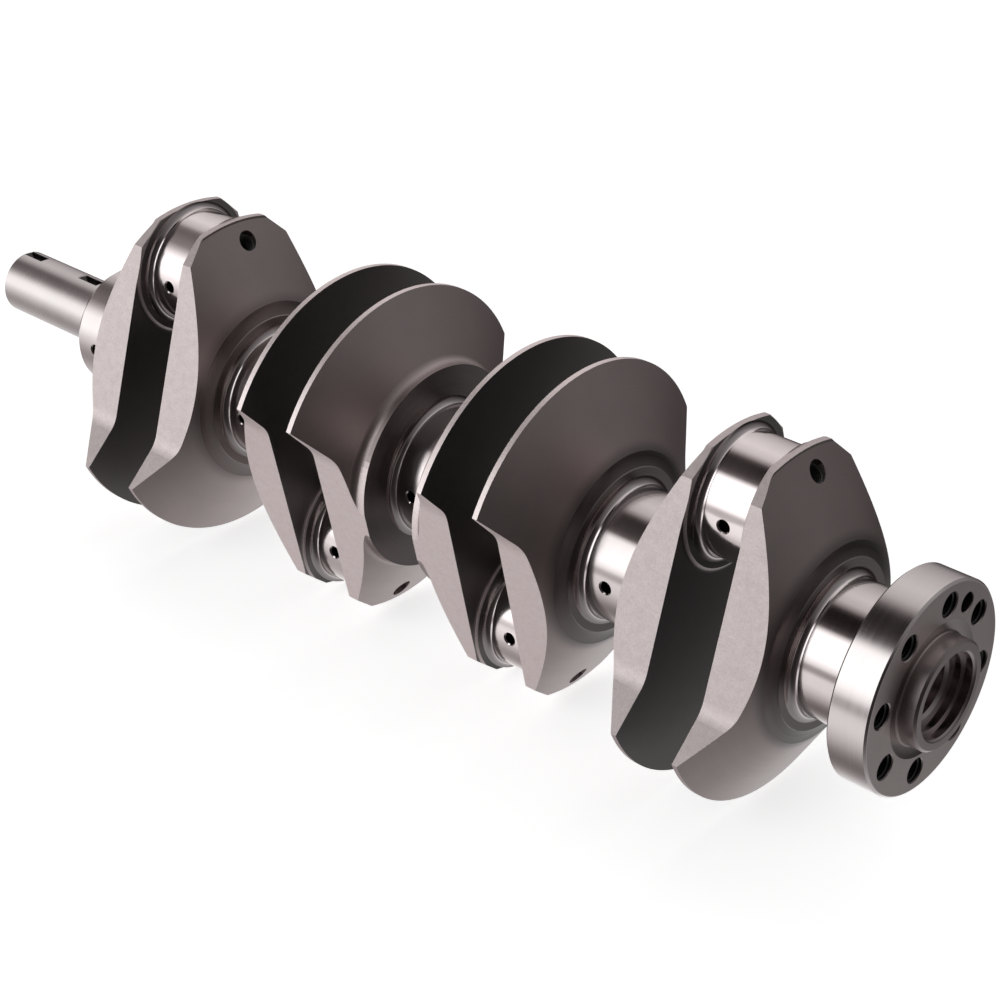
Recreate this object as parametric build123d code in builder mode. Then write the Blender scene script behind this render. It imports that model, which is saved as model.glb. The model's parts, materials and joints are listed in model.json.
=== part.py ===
from build123d import *
import math
import os

# Crankshaft of a four-cylinder in-line engine, full size, millimetres.
# X runs along the main axis: the nose is toward -X, the flywheel flange is at +X.
# +Z points from the main axis to crankpins 1 and 4; crankpins 2 and 3 are on -Z.
# The origin is on the main axis, in the plane of the flywheel mounting face.

os.makedirs("parts", exist_ok=True)

# ---- axial layout ----
bore_pitch = 100.0          # distance between neighbouring crankpins
pin4_x = -79.7              # middle of crankpin 4
pin_half_gap = 13.2         # crankpin middle to the flat face of each web
hub_height = 23.4           # raised hub around a main journal, above the flat face
flange_thickness = 16.8
collar_front_x = -442.7     # front end of main journal 1
nose_front_x = -512.4

# ---- journals ----
throw = 46.5                # main axis to crankpin axis, half the stroke
main_radius = 28.0
main_fillet = 3.5
collar_chamfer = 2.0        # length of the lead-in at the front of main journal 1
collar_chamfer_drop = 1.4   # its depth below the journal
pin_radius = 25.3
pin_fillet = 3.0

# ---- oil holes, drilled along Y into the journals ----
oil_hole_radius = 2.5
oil_hole_mouth = 0.6        # chamfer around each oil hole
main_oil_shift = {1: 0, 2: -3.0, 3: -3.0, 4: -0.5}   # from midway between crankpins

# ---- webs: outline across the axis, given for one half, throw side up ----
# tip: radius of the end beyond the crankpin, about the main axis, and its half width;
# straight facets run from the tip to the shoulder, and straight sides on to the knee
outer_outline = {"tip": (74.3, 18.2), "shoulder": (28.4, 62.4), "knee": (48.9, -16.2)}
inner_outline = {"tip": (72.4, 18.4), "shoulder": (29.8, 61.0), "knee": (50.6, -17.6)}
inner_webs = (3, 4, 5, 6)
thrust_webs = (4, 5)
knee_radius = 14.0
weight_radius = 72.7        # counterweight rim, about the main axis
weight_half_width = 65.2

# ---- webs: turned face on the side of the main journal, heights above the flat face ----
rim_height = 2.3            # thickness left at the counterweight rim
face_slope = 0.594          # height gained for each mm toward the axis
face_outer_radius = 76.0
valley_radius = 41.0        # foot of the hub
valley_middle = (21.8, 37.9)
hub_radius = 35.2
hub_edge = (0.4, 0.3)       # chamfer of the hub: height, depth
thrust_foot_radius = 47.8   # foot of the larger thrust hub at main journal 3
thrust_middle = (18.5, 45.9)
thrust_radius = 44.8
thrust_wall = 1.8

# ---- raised ring around each crankpin ----
pin_ring_height = 1.0
pin_ring_radius = 30.9
pin_ring_foot = 33.1        # where its concave flank meets the flat face
pin_ring_root = 2.0         # depth to which the ring is carried into the web

# ---- oil galleries, drilled slanting through each crankpin ----
gallery_radius = 2.5
gallery_mouth_z = 65.7      # height of the mouth above the main axis
gallery_mouth_y = 3.8
gallery_mouth_x = 6.4       # mouth behind the flat face of the web
gallery_clearance = 8.0     # length of drill outside the mouth
plug_seat_radius = 4.5
plug_seat_depth = 11.0
plug_thickness = 2.6
plug_lip = 0.9              # width of the flat lip around the plug's dish
plug_dish_depth = 1.0
plug_dish_taper = 0.6

# ---- rear flange ----
flange_radius = 43.2
flange_chamfer = 0.8
relief_radius = 27.5        # shallow dished relief around the pilot boss
relief_middle = (-0.5, 25.2)
relief_depth = 0.8
boss_radius = 22.2
boss_height = 7.1
boss_root = 0.8             # fillet between relief and boss
boss_chamfer = 1.0
bore_mouth_chamfer = 1.0
first_bore_radius = 17.3    # seat for the input shaft bearing
first_bore_floor = 2.0      # height of its floor above the flange face
second_bore_radius = 15.8
second_bore_floor = -1.8
inner_mouth_radius = 14.0
inner_bore_radius = 12.8
inner_bore_floor = -13.9
bolt_circle_radius = 34.0
bolt_count = 8
bolt_first_angle = 82.0     # degrees from +Y toward +Z
bolt_hole_radius = 5.0
bolt_hole_depth = 14.0
bolt_hole_sink = 0.4        # how much wider the countersink is than the hole
dowel_hole_radius = 4.0
dowel_hole_depth = 10.0
dowel_hole_sink = 0.3

# ---- nose ----
nose_radius = 14.7
nose_chamfer = 1.2
nose_root = 1.5             # fillet against the collar
key_angle = 3.5             # degrees from +Z toward +Y
key_width = 5.2
key_depth = 3.5
key_cutter_radius = 8.0     # half-round keyways, cut with a disc
front_key_x = -505.2
rear_key_x = -465.4
nose_bolt_radius = 7.0
nose_bolt_depth = 34.0
nose_bolt_chamfer = 1.0
nose_bolt_point = 4.0       # length of the drill's conical end

# station, throw direction (+1 up, -1 down) of each crankpin
pins = {
    1: (pin4_x - 3 * bore_pitch, 1),
    2: (pin4_x - 2 * bore_pitch, -1),
    3: (pin4_x - bore_pitch, -1),
    4: (pin4_x, 1),
}
MIDDLE_UP = (Align.CENTER, Align.CENTER, Align.MIN)
FILLET_BULGE = 1 - math.sqrt(0.5)   # middle of a quarter arc, for a radius of 1


def save(part, name):
    part.label = name
    export_step(part, f"parts/{name}.step")


def face_height(radius):
    """Height of the turned web face above the flat face, at a radius."""
    return rim_height + (weight_radius - radius) * face_slope


def main_oil_x(number):
    """Station of the oil hole in main journal 1 to 4."""
    return pins[number][0] - bore_pitch / 2 + main_oil_shift[number]


def gallery_plane(number):
    """Plane at the mouth of a gallery, its normal pointing down the drilling."""
    x, up = pins[number]
    mouth = Vector(
        x + pin_half_gap + gallery_mouth_x, up * gallery_mouth_y, up * gallery_mouth_z
    )
    target = Vector(main_oil_x(number), 0, 0)
    return Plane(origin=mouth, x_dir=(0, 1, 0), z_dir=target - mouth)


def drill_gallery(number):
    """Slanting gallery and the seat of its plug, cut from the part being built."""
    mouth = gallery_plane(number)
    run = (mouth.origin - Vector(main_oil_x(number), 0, 0)).length
    with Locations(mouth):
        Cylinder(gallery_radius, run, align=MIDDLE_UP, mode=Mode.SUBTRACT)
    with Locations(mouth.offset(-gallery_clearance)):
        Cylinder(
            plug_seat_radius,
            gallery_clearance + plug_seat_depth,
            align=MIDDLE_UP,
            mode=Mode.SUBTRACT,
        )


def drill_oil_hole(x, z, radius, depth):
    """Hole drilled along Y from the -Y side of a journal, with a chamfered mouth."""
    mouth = Plane(origin=(x, -radius, z), x_dir=(1, 0, 0), z_dir=(0, 1, 0))
    with Locations(mouth):
        Cylinder(oil_hole_radius, depth, align=MIDDLE_UP, mode=Mode.SUBTRACT)
    with Locations(mouth.offset(-oil_hole_mouth)):
        Cone(
            oil_hole_radius + 2 * oil_hole_mouth,
            oil_hole_radius,
            2 * oil_hole_mouth,
            align=MIDDLE_UP,
            mode=Mode.SUBTRACT,
        )


def filleted_journal(start, end, radius, fillet_radius):
    """Half profile of a journal with a concave fillet at each end, above the X axis."""
    root = radius + fillet_radius
    bulge = fillet_radius * FILLET_BULGE
    Polyline((end, root), (end, 0), (start, 0), (start, root))
    ThreePointArc(
        (start, root),
        (start + bulge, radius + bulge),
        (start + fillet_radius, radius),
    )
    Line((start + fillet_radius, radius), (end - fillet_radius, radius))
    ThreePointArc(
        (end - fillet_radius, radius),
        (end - bulge, radius + bulge),
        (end, root),
    )


def collar_journal(start, end, radius, fillet_radius):
    """Half profile of the front main journal: chamfered in front, filleted behind."""
    root = radius + fillet_radius
    bulge = fillet_radius * FILLET_BULGE
    Polyline(
        (end, root),
        (end, 0),
        (start, 0),
        (start, radius - collar_chamfer_drop),
        (start + collar_chamfer, radius),
        (end - fillet_radius, radius),
    )
    ThreePointArc(
        (end - fillet_radius, radius),
        (end - bulge, radius + bulge),
        (end, root),
    )


# ---------------------------------------------------------------- nose
with BuildPart() as nose:
    with BuildSketch(Plane.XY):
        with BuildLine():
            root_bulge = nose_root * FILLET_BULGE
            Polyline(
                (collar_front_x, nose_radius + nose_root),
                (collar_front_x, 0),
                (nose_front_x, 0),
                (nose_front_x, nose_radius - nose_chamfer),
                (nose_front_x + nose_chamfer, nose_radius),
                (collar_front_x - nose_root, nose_radius),
            )
            ThreePointArc(
                (collar_front_x - nose_root, nose_radius),
                (collar_front_x - root_bulge, nose_radius + root_bulge),
                (collar_front_x, nose_radius + nose_root),
            )
        make_face()
    revolve(axis=Axis.X)
    # threaded hole for the pulley bolt, with its drill point
    with BuildSketch(Plane.XY):
        with BuildLine():
            Polyline(
                (nose_front_x, 0),
                (nose_front_x, nose_bolt_radius + nose_bolt_chamfer),
                (nose_front_x + nose_bolt_chamfer, nose_bolt_radius),
                (nose_front_x + nose_bolt_depth, nose_bolt_radius),
                (nose_front_x + nose_bolt_depth + nose_bolt_point, 0),
                (nose_front_x, 0),
            )
        make_face()
    revolve(axis=Axis.X, mode=Mode.SUBTRACT)
    # two half-round keyways in line, on the throw side
    turn = math.radians(key_angle)
    across = Plane(origin=(0, 0, 0), x_dir=(1, 0, 0), z_dir=(0, -math.cos(turn), math.sin(turn)))
    with BuildSketch(across):
        for key_x in (front_key_x, rear_key_x):
            with Locations((key_x, nose_radius - key_depth + key_cutter_radius)):
                Circle(key_cutter_radius)
    extrude(amount=key_width / 2, both=True, mode=Mode.SUBTRACT)
save(nose.part, "nose")

# ---------------------------------------------------------------- main journals
hub_reach = pin_half_gap + hub_height
main_spans = {
    1: (collar_front_x, pins[1][0] - hub_reach),
    2: (pins[1][0] + hub_reach, pins[2][0] - hub_reach),
    3: (pins[2][0] + hub_reach, pins[3][0] - hub_reach),
    4: (pins[3][0] + hub_reach, pins[4][0] - hub_reach),
    5: (pins[4][0] + hub_reach, -flange_thickness),
}
for number, (start, end) in main_spans.items():
    with BuildPart() as main_journal:
        with BuildSketch(Plane.XZ):
            with BuildLine():
                if number == 1:
                    collar_journal(start, end, main_radius, main_fillet)
                else:
                    filleted_journal(start, end, main_radius, main_fillet)
            make_face()
        revolve(axis=Axis.X)
        if number in main_oil_shift:
            # cross drilling that feeds the slanting gallery of the next crankpin
            drill_oil_hole(main_oil_x(number), 0, main_radius, main_radius)
            drill_gallery(number)
    save(main_journal.part, f"main_journal_{number}")

# ---------------------------------------------------------------- crankpins
pin_reach = pin_half_gap - pin_ring_height
for number, (x, up) in pins.items():
    with BuildPart() as crankpin:
        with BuildSketch(Plane.XY.offset(up * throw)):
            with BuildLine():
                filleted_journal(x - pin_reach, x + pin_reach, pin_radius, pin_fillet)
            make_face()
        revolve(axis=Axis((0, 0, up * throw), (1, 0, 0)))
        drill_oil_hole(x, up * throw, pin_radius, pin_radius + gallery_mouth_y)
        drill_gallery(number)
    save(crankpin.part, f"crankpin_{number}")


# ---------------------------------------------------------------- webs
def web_outline(up, tip, shoulder, knee):
    """Closed outline of a web, throw side toward local +Y when up is 1."""
    tip_radius, tip_half_width = tip
    tip_z = math.sqrt(tip_radius**2 - tip_half_width**2)
    weight_z = -math.sqrt(weight_radius**2 - weight_half_width**2)
    for side in (-1, 1):
        Polyline(
            (side * tip_half_width, up * tip_z),
            (side * shoulder[0], up * shoulder[1]),
            (side * knee[0], up * knee[1]),
            (side * weight_half_width, up * weight_z),
        )
    ThreePointArc(
        (-tip_half_width, up * tip_z),
        (0, up * tip_radius),
        (tip_half_width, up * tip_z),
    )
    ThreePointArc(
        (-weight_half_width, up * weight_z),
        (0, -up * weight_radius),
        (weight_half_width, up * weight_z),
    )


def turned_profile(flat_x, outward, has_thrust_hub):
    """Half profile of a web's turned side, from its flat face at flat_x."""
    if has_thrust_hub:
        foot_radius = thrust_foot_radius
        middle = thrust_middle
        top = (hub_height - thrust_wall, thrust_radius)
        crown = (hub_height, thrust_radius)
    else:
        foot_radius = valley_radius
        middle = valley_middle
        top = (hub_height - hub_edge[0], hub_radius)
        crown = (hub_height, hub_radius - hub_edge[1])
    foot = (face_height(foot_radius), foot_radius)

    def place(points):
        return [(flat_x + outward * height, radius) for height, radius in points]

    Polyline(
        *place(
            [
                top,
                crown,
                (hub_height, 0),
                (0, 0),
                (0, face_outer_radius),
                (face_height(face_outer_radius), face_outer_radius),
                foot,
            ]
        )
    )
    ThreePointArc(*place([foot, middle, top]))


for number in range(1, 9):
    pin_number = (number + 1) // 2
    pin_x, up = pins[pin_number]
    # odd webs stand ahead of their crankpin, even webs behind it
    toward_main = -1 if number % 2 else 1
    flat_x = pin_x + toward_main * pin_half_gap
    flat = Plane(origin=(flat_x, 0, 0), x_dir=(0, 1, 0), z_dir=(toward_main, 0, 0))
    shape = inner_outline if number in inner_webs else outer_outline
    with BuildSketch(flat) as outline:
        with BuildLine():
            web_outline(up * toward_main, **shape)
        make_face()
        knees = outline.vertices().filter_by(
            lambda vertex: math.isclose(abs(vertex.X), shape["knee"][0], abs_tol=0.1)
        )
        fillet(knees, radius=knee_radius)

    # raised ring around the crankpin with a concave flank, cut off by the outline
    with BuildPart() as pin_ring:
        with BuildSketch(Plane.XY.offset(up * throw)):
            with BuildLine():
                top_x = flat_x - toward_main * pin_ring_height
                root_x = flat_x + toward_main * pin_ring_root
                TangentArc((flat_x, pin_ring_foot), (top_x, pin_ring_radius), tangent=(0, -1))
                Polyline(
                    (top_x, pin_ring_radius),
                    (top_x, 0),
                    (root_x, 0),
                    (root_x, pin_ring_foot),
                    (flat_x, pin_ring_foot),
                )
            make_face()
        revolve(axis=Axis((0, 0, up * throw), (1, 0, 0)))
        extrude(outline.sketch, amount=2 * pin_ring_root, both=True, mode=Mode.INTERSECT)

    with BuildPart() as web:
        extrude(outline.sketch, amount=hub_height + 1)
        # turned face: conical, rising to the hub around the main journal
        with BuildSketch(Plane.XY):
            with BuildLine():
                turned_profile(flat_x, toward_main, number in thrust_webs)
            make_face()
        revolve(axis=Axis.X, mode=Mode.INTERSECT)
        add(pin_ring.part)
        drill_gallery(pin_number)
    save(web.part, f"web_{number}")

# ---------------------------------------------------------------- gallery plugs
for number in pins:
    floor = gallery_plane(number).offset(plug_seat_depth)
    with BuildPart() as gallery_plug:
        with Locations(floor.offset(-plug_thickness)):
            Cylinder(plug_seat_radius, plug_thickness, align=MIDDLE_UP)
            # shallow dish on the outer face, narrower at its floor
            Cone(
                plug_seat_radius - plug_lip,
                plug_seat_radius - plug_lip - plug_dish_taper,
                plug_dish_depth,
                align=MIDDLE_UP,
                mode=Mode.SUBTRACT,
            )
    save(gallery_plug.part, f"gallery_plug_{number}")

# ---------------------------------------------------------------- rear flange
with BuildPart() as rear_flange:
    with BuildSketch(Plane.XY):
        with BuildLine():
            boss_root_bulge = boss_root * FILLET_BULGE
            Polyline(
                (-flange_thickness, 0),
                (-flange_thickness, flange_radius - flange_chamfer),
                (-flange_thickness + flange_chamfer, flange_radius),
                (-flange_chamfer, flange_radius),
                (0, flange_radius - flange_chamfer),
                (0, relief_radius),
            )
            ThreePointArc(
                (0, relief_radius),
                relief_middle,
                (-relief_depth, boss_radius + boss_root),
            )
            ThreePointArc(
                (-relief_depth, boss_radius + boss_root),
                (-relief_depth + boss_root_bulge, boss_radius + boss_root_bulge),
                (-relief_depth + boss_root, boss_radius),
            )
            Polyline(
                (-relief_depth + boss_root, boss_radius),
                (boss_height - boss_chamfer, boss_radius),
                (boss_height, boss_radius - boss_chamfer),
                (boss_height, first_bore_radius + bore_mouth_chamfer),
                (boss_height - bore_mouth_chamfer, first_bore_radius),
                (first_bore_floor, first_bore_radius),
                (first_bore_floor, second_bore_radius),
                (second_bore_floor, second_bore_radius),
                (second_bore_floor, inner_mouth_radius),
                (second_bore_floor - inner_mouth_radius + inner_bore_radius, inner_bore_radius),
                (inner_bore_floor, inner_bore_radius),
                (inner_bore_floor, 0),
                (-flange_thickness, 0),
            )
        make_face()
    revolve(axis=Axis.X)
    mounting_face = Plane(origin=(0, 0, 0), x_dir=(0, 1, 0), z_dir=(1, 0, 0))
    with Locations(mounting_face):
        with PolarLocations(bolt_circle_radius, bolt_count, start_angle=bolt_first_angle):
            CounterSinkHole(
                radius=bolt_hole_radius,
                counter_sink_radius=bolt_hole_radius + bolt_hole_sink,
                depth=bolt_hole_depth,
            )
        # locating dowel hole midway between the two uppermost bolt holes
        dowel_angle = bolt_first_angle - 180 / bolt_count
        with PolarLocations(bolt_circle_radius, 1, start_angle=dowel_angle):
            CounterSinkHole(
                radius=dowel_hole_radius,
                counter_sink_radius=dowel_hole_radius + dowel_hole_sink,
                depth=dowel_hole_depth,
            )
save(rear_flange.part, "rear_flange")
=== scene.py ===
"""Crankshaft: looks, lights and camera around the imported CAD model."""

import json
import math

import bmesh
import bpy
import numpy as np
from mathutils import Matrix, Vector


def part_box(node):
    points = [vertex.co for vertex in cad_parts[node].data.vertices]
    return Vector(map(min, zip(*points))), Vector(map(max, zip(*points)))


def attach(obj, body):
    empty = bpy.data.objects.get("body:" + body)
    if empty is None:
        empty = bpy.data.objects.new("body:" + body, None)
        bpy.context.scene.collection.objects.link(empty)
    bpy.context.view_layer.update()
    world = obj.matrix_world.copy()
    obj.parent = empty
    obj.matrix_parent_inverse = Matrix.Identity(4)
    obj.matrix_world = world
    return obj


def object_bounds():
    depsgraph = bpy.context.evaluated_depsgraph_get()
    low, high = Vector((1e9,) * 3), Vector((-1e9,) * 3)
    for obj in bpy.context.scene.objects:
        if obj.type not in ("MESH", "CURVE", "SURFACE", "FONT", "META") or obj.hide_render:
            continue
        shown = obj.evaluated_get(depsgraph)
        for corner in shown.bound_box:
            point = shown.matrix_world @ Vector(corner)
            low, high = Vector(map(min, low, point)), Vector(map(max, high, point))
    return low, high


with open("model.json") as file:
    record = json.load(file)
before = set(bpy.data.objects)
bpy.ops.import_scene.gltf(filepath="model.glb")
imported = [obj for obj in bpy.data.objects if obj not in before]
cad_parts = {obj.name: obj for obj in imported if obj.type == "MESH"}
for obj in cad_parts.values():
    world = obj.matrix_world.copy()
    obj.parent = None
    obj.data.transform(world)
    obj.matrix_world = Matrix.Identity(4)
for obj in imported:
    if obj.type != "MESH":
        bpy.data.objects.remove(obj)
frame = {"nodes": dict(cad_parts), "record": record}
cad_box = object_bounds()
nodes = frame["nodes"]
mounts = {m["name"]: m for m in frame["record"]["mounts"]}
MM = 0.001

# distances from the main axis at which the finish, and in places the painted shade, changes: a pair
# is where the change starts and where it is complete
keyway_floor = 14.4 * MM            # just inside the nose's own surface
web_hub_start = (46 * MM, 40 * MM)
thrust_wall = 44.8 * MM             # wall of the large hub on webs 4 and 5
flange_rim = (41.8 * MM, 42.6 * MM)
flange_relief = (28.0 * MM, 25.0 * MM)
pilot_bore = (18.4 * MM, 17.4 * MM)

# gallery plugs and their seats, as in the CAD model
plug_thickness = 2.6 * MM
plug_depth = 8.4 * MM               # from the mouth of the seat to the plug's outer face
plug_seat_radius = 4.5 * MM

nose_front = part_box("nose")[0][0]


# ------------------------------------------------------------------ node helpers
class Tree:
    """A short way to write a node tree."""

    def __init__(self, owner):
        owner.use_nodes = True
        self.nodes = owner.node_tree.nodes
        self.links = owner.node_tree.links
        self.nodes.clear()

    def add(self, kind, **settings):
        node = self.nodes.new(kind)
        for key, value in settings.items():
            setattr(node, key, value)
        return node

    def link(self, source, target):
        self.links.new(source, target)

    def feed(self, socket, value):
        """Puts a number, colour or another node's output into a socket."""
        if isinstance(value, bpy.types.NodeSocket):
            self.link(value, socket)
        else:
            socket.default_value = value

    def math(self, operation, a, b=0.0, c=0.0):
        node = self.add("ShaderNodeMath", operation=operation)
        for socket, value in zip(node.inputs, (a, b, c)):
            self.feed(socket, value)
        return node.outputs[0]

    def remap(self, value, low, high, to_low=0.0, to_high=1.0, smooth=True):
        """Leads from to_low to to_high while the value goes from low to high."""
        node = self.add("ShaderNodeMapRange")
        node.interpolation_type = "SMOOTHSTEP" if smooth else "LINEAR"
        for socket, number in zip(node.inputs, (value, low, high, to_low, to_high)):
            self.feed(socket, number)
        return node.outputs[0]

    def mix_colour(self, factor, a, b):
        node = self.add("ShaderNodeMix", data_type="RGBA")
        self.feed(node.inputs[0], factor)
        self.feed(node.inputs[6], a)
        self.feed(node.inputs[7], b)
        return node.outputs[2]

    def mix_value(self, factor, a, b):
        node = self.add("ShaderNodeMix", data_type="FLOAT")
        self.feed(node.inputs[0], factor)
        self.feed(node.inputs[2], a)
        self.feed(node.inputs[3], b)
        return node.outputs[0]

    def components(self, vector):
        """The X, Y and Z of a vector."""
        node = self.add("ShaderNodeSeparateXYZ")
        self.link(vector, node.inputs[0])
        return tuple(node.outputs)

    def place(self):
        """X, Y and Z of the shaded point."""
        return self.components(self.add("ShaderNodeTexCoord").outputs["Object"])

    def normal(self):
        """X, Y and Z of the surface's direction."""
        return self.components(self.add("ShaderNodeNewGeometry").outputs["True Normal"])

    def radius(self, place):
        """Distance from the main axis."""
        square = self.math("POWER", place[1], 2.0)
        return self.math("SQRT", self.math("MULTIPLY_ADD", place[2], place[2], square))

    def outward(self, normal, place, radius):
        """1 where the surface looks straight away from the main axis, -1 straight at it."""
        along = self.math("MULTIPLY", normal[1], place[1])
        along = self.math("MULTIPLY_ADD", normal[2], place[2], along)
        return self.math("DIVIDE", along, radius)

    def noise(self, vector, detail, roughness):
        node = self.add("ShaderNodeTexNoise")
        self.link(vector, node.inputs["Vector"])
        node.inputs["Scale"].default_value = 1.0
        node.inputs["Detail"].default_value = detail
        node.inputs["Roughness"].default_value = roughness
        return node.outputs["Fac"]

    def grain(self, scale, detail, roughness):
        """Noise with its own fineness, per metre, along X, Y and Z."""
        mapping = self.add("ShaderNodeMapping")
        self.link(self.add("ShaderNodeTexCoord").outputs["Object"], mapping.inputs["Vector"])
        mapping.inputs["Scale"].default_value = scale
        return self.noise(mapping.outputs["Vector"], detail, roughness)

    def turning_marks(self, place, radius, fineness, drift):
        """Rings about the main axis on a turned face, which vary slowly on their way round."""
        rings = self.add("ShaderNodeCombineXYZ")
        self.link(self.math("MULTIPLY", radius, fineness), rings.inputs[0])
        self.link(self.math("MULTIPLY", place[1], drift), rings.inputs[1])
        self.link(self.math("MULTIPLY", place[2], drift), rings.inputs[2])
        return self.noise(rings.outputs[0], 2.0, 0.6)

    def bump(self, shader, height, strength, distance):
        node = self.add("ShaderNodeBump")
        node.inputs["Strength"].default_value = strength
        node.inputs["Distance"].default_value = distance
        self.link(height, node.inputs["Height"])
        self.link(node.outputs[0], shader.inputs["Normal"])


def grey(value, warmth=0.0):
    """A metal's grey, a little redder and less green for a warm one."""
    return (value * (1 + warmth), value * (1 - 0.25 * warmth), value * (1 - 0.35 * warmth), 1.0)


def new_material(name, metallic=1.0):
    """A material of one Principled shader, with its tree and that shader."""
    material = bpy.data.materials.new(name)
    tree = Tree(material)
    shader = tree.add("ShaderNodeBsdfPrincipled")
    shader.inputs["Metallic"].default_value = metallic
    output = tree.add("ShaderNodeOutputMaterial")
    tree.link(shader.outputs[0], output.inputs[0])
    return material, tree, shader


# ------------------------------------------------------------------ materials
def ground_steel(name, shade=0.68, roughness=0.08, warmth=0.08, floor_radius=0.0, front=0.0):
    """Ground round the X axis: fine rings along X, cloudy polish, fillets painted darker as shade.

    With a floor_radius, what is inside it and behind the plane X = front is painted dark instead,
    as shade in the keyways and the bolt's hole."""
    material, tree, shader = new_material(name)
    rings = tree.grain((2600, 18, 18), 3.0, 0.6)
    clouds = tree.grain((60, 45, 45), 3.0, 0.55)
    colour = tree.mix_colour(clouds, grey(shade * 0.90, warmth), grey(shade * 1.08, warmth))
    if floor_radius:
        # the cut floors of the keyways and the wall of the bolt's hole, painted dark as shade in
        # these recesses
        place = tree.place()
        inside = tree.remap(tree.radius(place), floor_radius, floor_radius - 0.2 * MM)
        behind = tree.remap(place[0], front, front + 0.2 * MM)
        cut_painted_shade = tree.math("MULTIPLY", inside, behind)
        colour = tree.mix_colour(cut_painted_shade, colour, grey(0.09, warmth))
    else:
        # painted shade: the fillets, where journal meets web, are darker
        fillet_painted_shade = tree.remap(tree.math("ABSOLUTE", tree.normal()[0]), 0.15, 0.50)
        colour = tree.mix_colour(fillet_painted_shade, colour, grey(shade * 0.55, warmth))
    tree.link(colour, shader.inputs["Base Color"])
    rough = tree.math("MULTIPLY_ADD", rings, 0.10, roughness - 0.05)
    rough = tree.math("MULTIPLY_ADD", clouds, 0.08, rough)
    tree.link(rough, shader.inputs["Roughness"])
    tree.bump(shader, rings, strength=0.10, distance=0.02 * MM)
    return material


def web_steel(name, pin_side, edge):
    """Web: milled edge with fine grain, turned cone and hub, with painted shade on the flat face,
    the hub and the cone's foot.

    pin_side is the sign of X on the flat face, edge the two greys of the milled edge."""
    material, tree, shader = new_material(name)
    normal = tree.normal()
    place = tree.place()
    radius = tree.radius(place)
    facing = tree.math("MULTIPLY", normal[0], float(pin_side))
    on_flat = tree.remap(facing, 0.90, 0.97)
    on_hub = tree.remap(facing, -0.93, -0.985)
    # the milled sides run along X, so any tilt toward the journal side is turned, and so is
    # the thrust hub's wall, except where it looks sideways, level with the milled sides
    tilted = tree.remap(facing, -0.04, -0.12)
    straight = tree.math("GREATER_THAN", tree.outward(normal, place, radius), 0.996)
    on_wall = tree.math("COMPARE", radius, thrust_wall, 0.15 * MM)
    turned = tree.math("MAXIMUM", tilted, tree.math("MULTIPLY", straight, on_wall))
    sideways = tree.remap(tree.math("ABSOLUTE", normal[1]), 0.90, 0.95)
    at_hub = tree.math("GREATER_THAN", radius, thrust_wall - 0.8 * MM)
    level = tree.math("MULTIPLY", sideways, at_hub)
    on_cone = tree.math("MULTIPLY", turned, tree.math("SUBTRACT", 1.0, level))

    turning = tree.turning_marks(place, radius, fineness=1400.0, drift=12.0)
    grain = tree.grain((1500, 1500, 1500), 2.0, 0.7)
    patches = tree.grain((40, 40, 40), 3.0, 0.55)
    mottle = tree.mix_value(0.55, tree.grain((260, 330, 330), 5.0, 0.75), grain)
    mottle = tree.remap(mottle, 0.30, 0.70, smooth=False)

    edge_colour = tree.mix_colour(mottle, grey(edge[0], 0.12), grey(edge[1], 0.09))
    # flats and hubs are painted dark as shade between the webs, the painted shade lighter toward
    # the nose
    dark_flat_painted_shade = tree.mix_colour(patches, grey(0.15, 0.07), grey(0.19, 0.07))
    paler_flat_painted_shade = tree.mix_colour(patches, grey(0.21, 0.07), grey(0.27, 0.07))
    flat_paleness = tree.remap(place[0], -0.10, -0.36)
    dark_flat_painted_shade = tree.mix_colour(flat_paleness, dark_flat_painted_shade, paler_flat_painted_shade)
    dark_hub_painted_shade = tree.mix_colour(turning, grey(0.17, 0.09), grey(0.22, 0.09))
    paler_hub_painted_shade = tree.mix_colour(turning, grey(0.23, 0.13), grey(0.29, 0.13))
    hub_paleness = tree.remap(place[0], -0.28, -0.34)
    dark_hub_painted_shade = tree.mix_colour(hub_paleness, dark_hub_painted_shade, paler_hub_painted_shade)
    cone_colour = tree.mix_colour(patches, grey(0.37, 0.14), grey(0.46, 0.14))
    grain_share = tree.math("MULTIPLY", grain, 0.30)
    cone_colour = tree.mix_colour(grain_share, cone_colour, grey(0.26, 0.13))
    # painted shade: near the journal the cone darkens into the hub's painted shade
    cone_colour = tree.mix_colour(tree.remap(radius, *web_hub_start), cone_colour, dark_hub_painted_shade)
    colour = tree.mix_colour(on_cone, edge_colour, cone_colour)
    colour = tree.mix_colour(on_hub, colour, dark_hub_painted_shade)
    colour = tree.mix_colour(on_flat, colour, dark_flat_painted_shade)
    tree.link(colour, shader.inputs["Base Color"])

    marks = tree.mix_value(on_cone, grain, turning)
    rough = tree.mix_value(on_cone, 0.48, 0.36)
    rough = tree.mix_value(on_hub, rough, 0.25)
    rough = tree.mix_value(on_flat, rough, 0.34)
    rough = tree.math("MULTIPLY_ADD", marks, 0.10, rough)
    tree.link(rough, shader.inputs["Roughness"])
    tree.bump(shader, marks, strength=0.35, distance=0.08 * MM)
    return material


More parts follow.
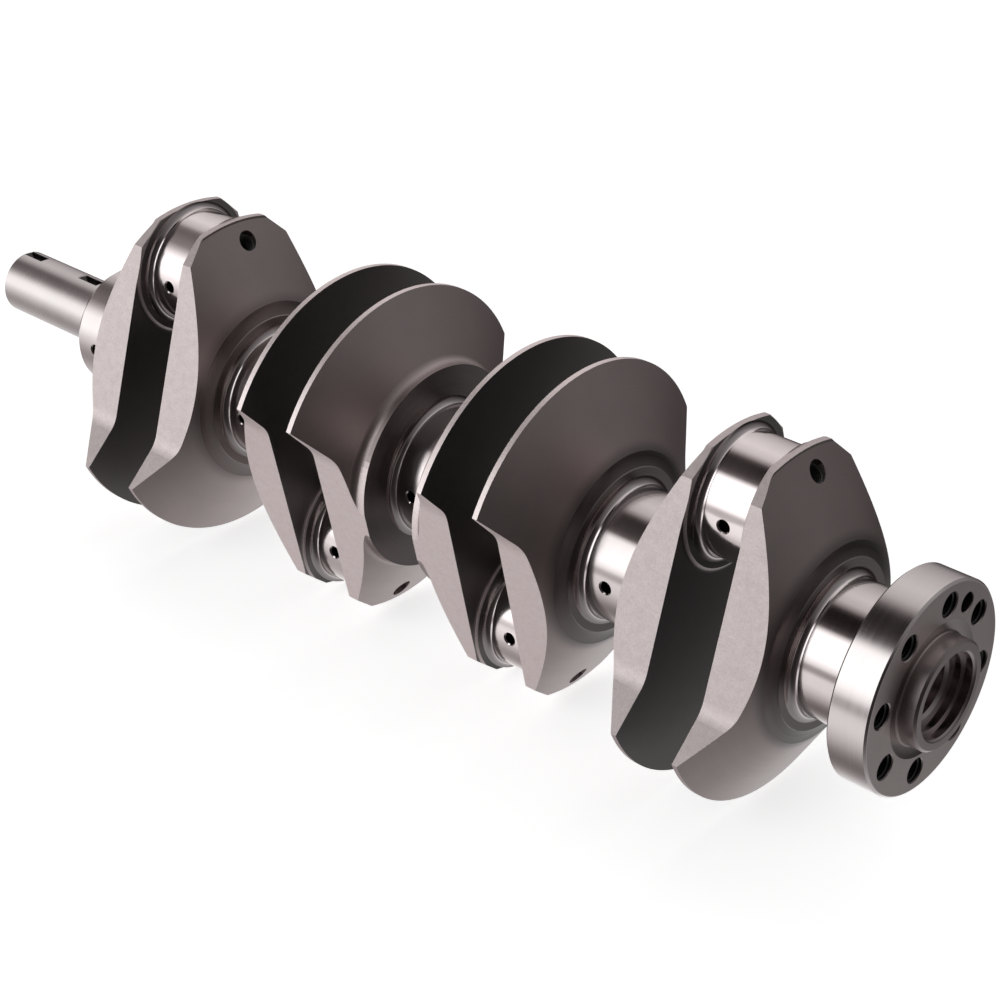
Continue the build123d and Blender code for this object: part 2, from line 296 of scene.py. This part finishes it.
def flange_steel(name):
    """Flange: ground rim, turned face and boss, all about the X axis, with painted shade in the
    relief, the bores and the holes.
    """
    material, tree, shader = new_material(name)
    normal = tree.normal()
    place = tree.place()
    radius = tree.radius(place)
    on_rim = tree.remap(radius, *flange_rim)
    on_face = tree.remap(tree.math("ABSOLUTE", normal[0]), 0.20, 0.60)
    in_bore = tree.remap(radius, *pilot_bore)
    relief_painted_shade = tree.remap(radius, *flange_relief)
    outside_relief = tree.remap(radius, *reversed(flange_relief))
    # the relief's rising wall looks back at the axis, and gets painted shade
    rising_wall_painted_shade = tree.remap(tree.outward(normal, place, radius), -0.08, -0.30)

    turning = tree.turning_marks(place, radius, fineness=1800.0, drift=15.0)
    rings = tree.grain((1700, 20, 20), 3.0, 0.65)
    patches = tree.grain((50, 50, 50), 3.0, 0.55)

    face_colour = tree.mix_colour(patches, grey(0.36, 0.12), grey(0.44, 0.12))
    # painted shade: the relief round the boss is darker, and its rising wall darker still
    face_colour = tree.mix_colour(relief_painted_shade, face_colour, grey(0.30, 0.12))
    face_colour = tree.mix_colour(rising_wall_painted_shade, face_colour, grey(0.16, 0.12))
    # walls of the boss, of its bores, and of the holes outside the relief; the bores are painted a
    # little darker and the holes much darker, as painted shade
    wall_colour = tree.mix_colour(in_bore, grey(0.62, 0.11), grey(0.46, 0.09))
    wall_colour = tree.mix_colour(outside_relief, wall_colour, grey(0.20, 0.11))
    colour = tree.mix_colour(on_face, wall_colour, face_colour)
    colour = tree.mix_colour(in_bore, colour, wall_colour)
    rim_colour = tree.mix_colour(rings, grey(0.62, 0.07), grey(0.72, 0.07))
    tree.link(tree.mix_colour(on_rim, colour, rim_colour), shader.inputs["Base Color"])

    marks = tree.mix_value(on_rim, turning, rings)
    rough = tree.mix_value(on_face, tree.mix_value(in_bore, 0.28, 0.10), 0.30)
    rough = tree.mix_value(on_rim, rough, 0.13)
    rough = tree.math("MULTIPLY_ADD", marks, 0.12, rough)
    tree.link(rough, shader.inputs["Roughness"])
    tree.bump(shader, marks, strength=0.2, distance=0.04 * MM)
    return material


def dull_steel(name, shade):
    """Very dark steel with faint patches; on the thread ridges the darkness is painted shade in the
    holes.
    """
    material, tree, shader = new_material(name)
    patches = tree.grain((700, 700, 700), 3.0, 0.6)
    colour = tree.mix_colour(patches, grey(shade * 0.7), grey(shade * 1.3))
    tree.link(colour, shader.inputs["Base Color"])
    tree.link(tree.math("MULTIPLY_ADD", patches, 0.2, 0.35), shader.inputs["Roughness"])
    return material


def pale_floor(name):
    material, _, shader = new_material(name, metallic=0.0)
    shader.inputs["Base Color"].default_value = (0.85, 0.85, 0.85, 1)
    shader.inputs["Roughness"].default_value = 0.9
    shader.inputs["Emission Color"].default_value = (1, 1, 1, 1)
    shader.inputs["Emission Strength"].default_value = 0.74
    return material


def paint(node, material):
    node.data.materials.clear()
    node.data.materials.append(material)


journal_material = ground_steel("main_journal_ground")
# painted light: the crankpins are a paler copy of the journals' ground steel
crankpin_painted_light_material = ground_steel("crankpin_ground_painted_light", shade=0.85, roughness=0.09)
nose_material = ground_steel(
    "nose_ground",
    shade=0.64,
    roughness=0.22,
    warmth=0.07,
    floor_radius=keyway_floor,
    front=nose_front + 1.0 * MM,
)
# the edges of the four webs of the inner crankpins are painted paler than those of the four outer
# ones, as painted light
inner_webs = range(3, 7)
outer_edge, inner_edge_painted_light = (0.54, 0.77), (0.80, 1.00)
# by whether the web is an inner one, and by the side of its flat face
web_materials = {
    (False, 1): web_steel("web_steel_1", 1, outer_edge),
    (False, -1): web_steel("web_steel_2", -1, outer_edge),
    (True, 1): web_steel("web_steel_3", 1, inner_edge_painted_light),
    (True, -1): web_steel("web_steel_4", -1, inner_edge_painted_light),
}
for name, node in nodes.items():
    if name.startswith("main_journal"):
        paint(node, journal_material)
    elif name.startswith("crankpin"):
        paint(node, crankpin_painted_light_material)
    elif name.startswith("web"):
        number = int(name[-1])
        pin_side = 1 if number % 2 else -1
        paint(node, web_materials[number in inner_webs, pin_side])
paint(nodes["nose"], nose_material)
paint(nodes["rear_flange"], flange_steel("flange_turned"))
plug_material = dull_steel("plug_dull", 0.05)
for number in range(1, 5):
    paint(nodes[f"gallery_plug_{number}"], plug_material)


# ------------------------------------------------------------------ threads
def thread_ridge(name, mouth, outward, radius, pitch, start, end, material):
    """Helical ridge standing on the wall of a hole, from depth start to depth end.

    outward is the way out of the hole, and mouth the middle of its mouth."""
    steps = 36                       # sections in a turn
    run_out_steps = steps / 3        # over which the ridge rises and fades
    height = 0.52 * pitch
    buried = 0.06 * MM
    half_foot, half_crest = 0.44, 0.12    # half widths as parts of the pitch
    count = int((end - start) / pitch * steps)
    across = outward.orthogonal().normalized()
    beside = outward.cross(across)
    mesh = bmesh.new()
    sections = []
    for index in range(count + 1):
        angle = 2 * math.pi * index / steps
        depth = start + pitch * index / steps
        run_out = min(1.0, index / run_out_steps, (count - index) / run_out_steps)
        spoke = math.cos(angle) * across + math.sin(angle) * beside
        foot = radius + buried
        crest = radius - height * run_out
        profile = ((foot, -half_foot), (crest, -half_crest), (crest, half_crest), (foot, half_foot))
        section = []
        for distance, part in profile:
            point = mouth + spoke * distance - outward * (depth + part * pitch)
            section.append(mesh.verts.new(point))
        sections.append(section)
    for near, far in zip(sections, sections[1:]):
        for here, there in ((0, 1), (1, 2), (2, 3), (3, 0)):
            mesh.faces.new((near[here], near[there], far[there], far[here]))
    mesh.faces.new(sections[0][::-1])
    mesh.faces.new(sections[-1])
    bmesh.ops.recalc_face_normals(mesh, faces=mesh.faces)
    data = bpy.data.meshes.new(name)
    mesh.to_mesh(data)
    mesh.free()
    piece = bpy.data.objects.new(name, data)
    bpy.context.scene.collection.objects.link(piece)
    data.materials.append(material)
    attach(piece, "root")


# the eight flywheel bolt holes, counted from the dowel hole
bolts = mounts["flywheel_bolts"]["dims"]
bolt_circle = bolts["pcd_mm"] / 2 * MM
bolt_count = bolts["count"]
dowel = mounts["flywheel_dowel_hole"]["pos_m"]
first_angle = math.atan2(dowel[2], dowel[1]) + math.pi / bolt_count
to_flange_end = Vector((1, 0, 0))
# painted shade: the thread ridges are near black, as shade in the holes
thread_painted_shade_material = dull_steel("painted_shade_thread", 0.10)
for index in range(bolt_count):
    angle = first_angle + index * 2 * math.pi / bolt_count
    thread_ridge(
        f"flange_thread_{index + 1}",
        Vector((0, bolt_circle * math.cos(angle), bolt_circle * math.sin(angle))),
        to_flange_end,
        radius=bolts["hole_r_mm"] * MM,
        pitch=1.25 * MM,
        start=1.0 * MM,
        end=12.8 * MM,
        material=thread_painted_shade_material,
    )

# the pulley bolt's hole in the nose
pulley_bolt = mounts["pulley_bolt_thread"]["dims"]
thread_ridge(
    "nose_thread",
    Vector((nose_front, 0, 0)),
    -to_flange_end,
    radius=pulley_bolt["r_mm"] * MM,
    pitch=1.5 * MM,
    start=2.0 * MM,
    end=pulley_bolt["length_mm"] * MM - 1.0 * MM,
    material=thread_painted_shade_material,
)

# the seats of the gallery plugs, each found from its plug, a disc thinnest along the hole
for number in range(1, 5):
    plug = nodes[f"gallery_plug_{number}"]
    corners = np.array([vertex.co for vertex in plug.data.vertices])
    centre = (corners.min(axis=0) + corners.max(axis=0)) / 2
    _, directions = np.linalg.eigh(np.cov((corners - centre).T))
    outward = Vector(directions[:, 0])
    if outward.x < 0:
        outward.negate()
    thread_ridge(
        f"gallery_thread_{number}",
        Vector(centre) + outward * (plug_depth + plug_thickness / 2),
        outward,
        radius=plug_seat_radius,
        pitch=1.0 * MM,
        start=2.0 * MM,
        end=plug_depth - 0.6 * MM,
        material=thread_painted_shade_material,
    )


# ------------------------------------------------------------------ floor
bpy.ops.mesh.primitive_plane_add(size=12, location=(-0.25, 0, cad_box[0][2]))
floor = bpy.context.object
floor.name = "floor"
floor.visible_glossy = False
paint(floor, pale_floor("pale_floor"))

# ------------------------------------------------------------------ world: all the light
world = bpy.data.worlds.new("studio")
bpy.context.scene.world = world
tree = Tree(world)
toward_x, toward_y, toward_z = tree.components(tree.add("ShaderNodeTexCoord").outputs["Generated"])
# angle round the X axis: 0 toward -Y, 90 overhead, 180 toward +Y
angle = tree.math("ARCTAN2", toward_z, tree.math("MULTIPLY", toward_y, -1.0))
turn_share = tree.math("MULTIPLY_ADD", angle, 0.5 / math.pi, 0.5)


def light_round(stops):
    """Brightness round the X axis, from (degrees, strength) pairs."""
    ramp = tree.add("ShaderNodeValToRGB")
    tree.link(turn_share, ramp.inputs[0])
    elements = ramp.color_ramp.elements
    while len(elements) < len(stops):
        elements.new(0.5)
    for element, (degrees, strength) in zip(elements, stops):
        element.position = degrees / 360 + 0.5
        element.color = (strength ** 0.94, strength, strength, 1)
    return ramp.outputs["Color"]


# floor, side box and the gap above it, as the journals near the flange mirror them
rear_light = light_round((
    (-180, 0.35), (-165, 0.07), (-156, 0.04), (-146, 0.50), (-134, 1.10), (-119, 0.73),
    (-109, 0.57), (-99, 0.33), (-89, 0.20), (-79, 0.18), (-69, 0.28), (-59, 0.50),
    (-48, 0.75), (-38, 0.93), (-22, 0.95), (-15, 0.36), (-9, 0.42), (-4, 1.1), (6, 1.6),
    (46, 1.6), (51, 0.8), (55, 0.08), (64, 0.02), (75, 0.01), (86, 0.01), (92, 0.05),
    (98, 0.30), (106, 0.60), (125, 0.75), (150, 0.60), (180, 0.35),
))
# the same as the nose end mirrors them, farther away and softer
front_light = light_round((
    (-180, 0.35), (-165, 0.10), (-150, 0.10), (-136, 0.90), (-119, 0.80), (-98, 0.62),
    (-78, 0.48), (-68, 0.40), (-58, 0.36), (-47, 0.42), (-37, 0.56), (-27, 0.78),
    (-17, 1.0), (-7, 1.3), (3, 1.5), (26, 1.4), (36, 1.0), (46, 0.5), (56, 0.22),
    (84, 0.12), (94, 0.15), (104, 0.50), (125, 0.75), (150, 0.60), (180, 0.35),
))
# the room on the far side and past the flange end: pale floor, dark wall, lit ceiling
far_light = light_round((
    (-180, 0.35), (-172, 0.22), (-165, 0.07), (-156, 0.04), (-148, 0.50), (-142, 0.95),
    (-136, 1.25), (-95, 1.15), (-75, 0.80), (-58, 0.25), (-42, 0.12), (48, 0.12),
    (62, 0.45), (100, 0.85), (118, 1.0), (145, 1.05), (152, 0.80), (160, 0.65),
    (168, 0.56), (174, 0.47), (180, 0.35),
))
light = tree.mix_colour(tree.remap(toward_x, -0.45, -0.68), rear_light, front_light)
light = tree.mix_colour(tree.remap(toward_x, -0.18, -0.06), light, far_light)
# the room is dimmer the more it lies past the flange end
near_dimming = tree.remap(toward_x, -0.12, 0.14, 1.0, 0.52)
far_dimming = tree.remap(toward_x, 0.14, 0.55, 1.0, 0.68)
end_dimming = tree.remap(toward_x, 0.55, 0.97, 1.0, 0.58)
dimming = tree.math("MULTIPLY", tree.math("MULTIPLY", near_dimming, far_dimming), end_dimming)
studio = tree.add("ShaderNodeBackground")
tree.link(light, studio.inputs["Color"])
tree.link(dimming, studio.inputs["Strength"])
# the studio lights the object and shows in its polish; behind the object the room is plain white
plain = tree.add("ShaderNodeBackground")
plain.inputs["Color"].default_value = (1, 1, 1, 1)
seen = tree.add("ShaderNodeMixShader")
tree.link(tree.add("ShaderNodeLightPath").outputs["Is Camera Ray"], seen.inputs[0])
tree.link(studio.outputs[0], seen.inputs[1])
tree.link(plain.outputs[0], seen.inputs[2])
output = tree.add("ShaderNodeOutputWorld")
tree.link(seen.outputs[0], output.inputs[0])

# ------------------------------------------------------------------ camera
camera_data = bpy.data.cameras.new("camera")
camera = bpy.data.objects.new("camera", camera_data)
bpy.context.scene.collection.objects.link(camera)
camera_data.sensor_width = 36
camera_data.lens = 86.28
camera_data.clip_start = 0.05
eye = Vector((0.34979, -0.65439, 0.48222))
forward = Vector((-0.56531, 0.66264, -0.49125)).normalized()
upward = Vector((-0.34104, 0.35451, 0.87064))
right = forward.cross(upward).normalized()
upward = right.cross(forward)
turn = Matrix((right, upward, -forward)).transposed().to_4x4()
camera.matrix_world = Matrix.Translation(eye) @ turn
bpy.context.scene.camera = camera
bpy.context.scene.view_settings.view_transform = "Standard"
